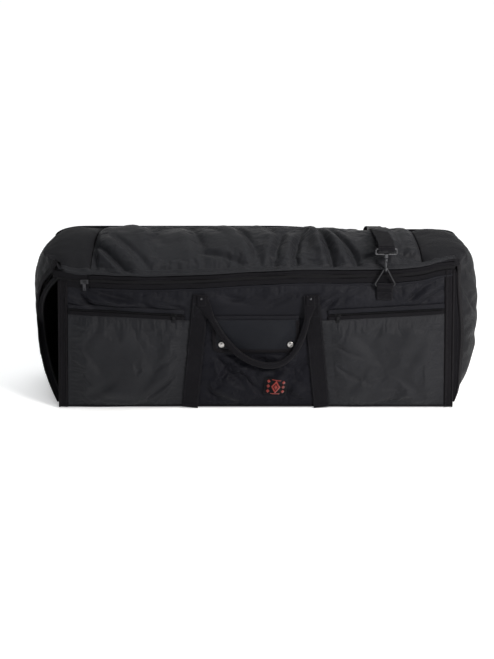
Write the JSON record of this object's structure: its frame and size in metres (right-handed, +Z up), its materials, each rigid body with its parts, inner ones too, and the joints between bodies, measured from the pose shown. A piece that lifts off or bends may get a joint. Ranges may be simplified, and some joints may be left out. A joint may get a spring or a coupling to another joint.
{
  "type": "telescope carry case",
  "caption": "Long padded soft case with a zipped front that opens downwards, outer pockets, hanging grab handles, a snap flap and a clipped shoulder strap.",
  "frame": {"origin": "centre of the base, on the surface that the case stands on", "axes": "+X along the case's length, the opening front faces -Y, +Z up"},
  "size_m": [1.0894, 0.3558, 0.4083],
  "materials": {
    "nylon": "woven, slight sheen",
    "foam": "closed cell foam",
    "lining": "smooth knitted lining",
    "webbing": "ribbed webbing",
    "binding": "grosgrain tape",
    "zip_tape": "knitted zip tape",
    "zip_coil": "nylon coil",
    "zip_metal": "dark plated",
    "ring_wire": "black plated steel",
    "hook_metal": "dark nickel",
    "snap_metal": "nickel",
    "adjuster": "moulded",
    "label": "woven label"
  },
  "bodies": {
    "root": {"bottom_panel": "nylon", "back_panel": "nylon", "top_panel": "nylon", "left_end_panel": "nylon", "right_end_panel": "nylon", "bottom_foam": "foam", "back_foam": "foam", "top_foam": "foam", "left_end_foam": "foam", "right_end_foam": "foam", "tub_lining": "lining", "rear_piping": "binding", "tub_zip_tape": "zip_tape", "tub_zip_coil": "zip_coil", "left_rear_webbing": "webbing", "right_rear_webbing": "webbing", "rear_tab": "webbing", "rear_handle_rivets": "snap_metal", "strap_webbing": "webbing", "strap_adjuster": "adjuster", "front_eye": "hook_metal", "rear_eye": "hook_metal"},
    "door": {"front_panel": "nylon", "door_foam": "foam", "door_lining": "lining", "door_zip_tape": "zip_tape", "door_zip_coil": "zip_coil", "left_door_binding": "binding", "right_door_binding": "binding", "left_pocket_panel": "nylon", "right_pocket_panel": "nylon", "left_pocket_tape": "zip_tape", "right_pocket_tape": "zip_tape", "left_pocket_coil": "zip_coil", "right_pocket_coil": "zip_coil", "centre_pocket_panel": "nylon", "left_front_webbing": "webbing", "right_front_webbing": "webbing", "label_patch": "label", "front_tab": "webbing", "front_handle_rivets": "snap_metal", "snap_studs": "snap_metal"},
    "main_slider": {"main_slider": "zip_metal"},
    "main_pull": {"main_pull": "zip_metal"},
    "left_pocket_slider": {"left_pocket_slider": "zip_metal"},
    "left_pocket_pull": {"left_pocket_pull": "zip_metal"},
    "right_pocket_slider": {"right_pocket_slider": "zip_metal"},
    "right_pocket_pull": {"right_pocket_pull": "zip_metal"},
    "centre_flap": {"centre_flap": "nylon", "flap_binding": "binding", "snap_caps": "snap_metal"},
    "front_handle": {"front_handle": "webbing"},
    "rear_handle": {"rear_handle": "webbing"},
    "front_ring": {"front_ring": "ring_wire"},
    "rear_ring": {"rear_ring": "ring_wire"},
    "front_hook": {"front_hook": "hook_metal"},
    "rear_hook": {"rear_hook": "hook_metal"},
    "front_hook_gate": {"front_hook_gate": "hook_metal"},
    "rear_hook_gate": {"rear_hook_gate": "hook_metal"}
  },
  "joints": [
    {"name": "door_hinge", "type": "hinge", "parent": "root", "child": "door", "pos_m": [0, -0.14, 0], "axis": [1, 0, 0], "range_deg": [0, 70]},
    {"name": "main_slide", "type": "slide", "parent": "door", "child": "main_slider", "axis": [0.9997, 0, 0.025], "range_m": [0, 0.775]},
    {"name": "main_pull_swing", "type": "hinge", "parent": "main_slider", "child": "main_pull", "pos_m": [-0.398, -0.147, 0.31205], "axis": [-1, 0, 0], "range_deg": [0, 150]},
    {"name": "left_pocket_slide", "type": "slide", "parent": "door", "child": "left_pocket_slider", "axis": [-0.9985, 0, 0.0549], "range_m": [0, 0.235]},
    {"name": "left_pocket_pull_swing", "type": "hinge", "parent": "left_pocket_slider", "child": "left_pocket_pull", "pos_m": [-0.192, -0.149, 0.23256], "axis": [-1, 0, 0], "range_deg": [0, 150]},
    {"name": "right_pocket_slide", "type": "slide", "parent": "door", "child": "right_pocket_slider", "axis": [0.9985, 0, 0.0549], "range_m": [0, 0.235]},
    {"name": "right_pocket_pull_swing", "type": "hinge", "parent": "right_pocket_slider", "child": "right_pocket_pull", "pos_m": [0.192, -0.149, 0.23256], "axis": [-1, 0, 0], "range_deg": [0, 150]},
    {"name": "front_handle_swing", "type": "hinge", "parent": "door", "child": "front_handle", "pos_m": [0, -0.152, 0.266], "axis": [-1, 0, 0], "range_deg": [0, 170]},
    {"name": "flap_hinge", "type": "hinge", "parent": "door", "child": "centre_flap", "pos_m": [0, -0.14525, 0.2205], "axis": [-1, 0, 0], "range_deg": [0, 153]},
    {"name": "rear_handle_swing", "type": "hinge", "parent": "root", "child": "rear_handle", "pos_m": [0, 0.152, 0.266], "axis": [1, 0, 0], "range_deg": [0, 170]},
    {"name": "front_ring_swing", "type": "hinge", "parent": "door", "child": "front_ring", "pos_m": [0.298, -0.152, 0.305], "axis": [1, 0, 0], "range_deg": [-1.2, 2.2]},
    {"name": "rear_ring_swing", "type": "hinge", "parent": "root", "child": "rear_ring", "pos_m": [-0.298, 0.152, 0.255], "axis": [1, 0, 0], "range_deg": [-1.2, 2.2]},
    {"name": "front_hook_swivel", "type": "hinge", "parent": "root", "child": "front_hook", "pos_m": [0.298, -0.156, 0.38], "axis": [0, 0, 1], "range_deg": [-8, 8]},
    {"name": "rear_hook_swivel", "type": "hinge", "parent": "root", "child": "rear_hook", "pos_m": [-0.298, 0.156, 0.18], "axis": [0, 0, 1], "range_deg": [-8, 8]},
    {"name": "front_gate_swing", "type": "hinge", "parent": "front_hook", "child": "front_hook_gate", "pos_m": [0.298, -0.163, 0.3635], "axis": [1, 0, 0], "range_deg": [0, 28], "stiffness_Nm_per_rad": 0.05},
    {"name": "rear_gate_swing", "type": "hinge", "parent": "rear_hook", "child": "rear_hook_gate", "pos_m": [-0.298, 0.163, 0.1965], "axis": [1, 0, 0], "range_deg": [0, 28], "stiffness_Nm_per_rad": 0.05}
  ],
  "couplings": [
    {"joint": "flap_hinge", "follows": "front_handle_swing", "ratio": 0.9}
  ]
}
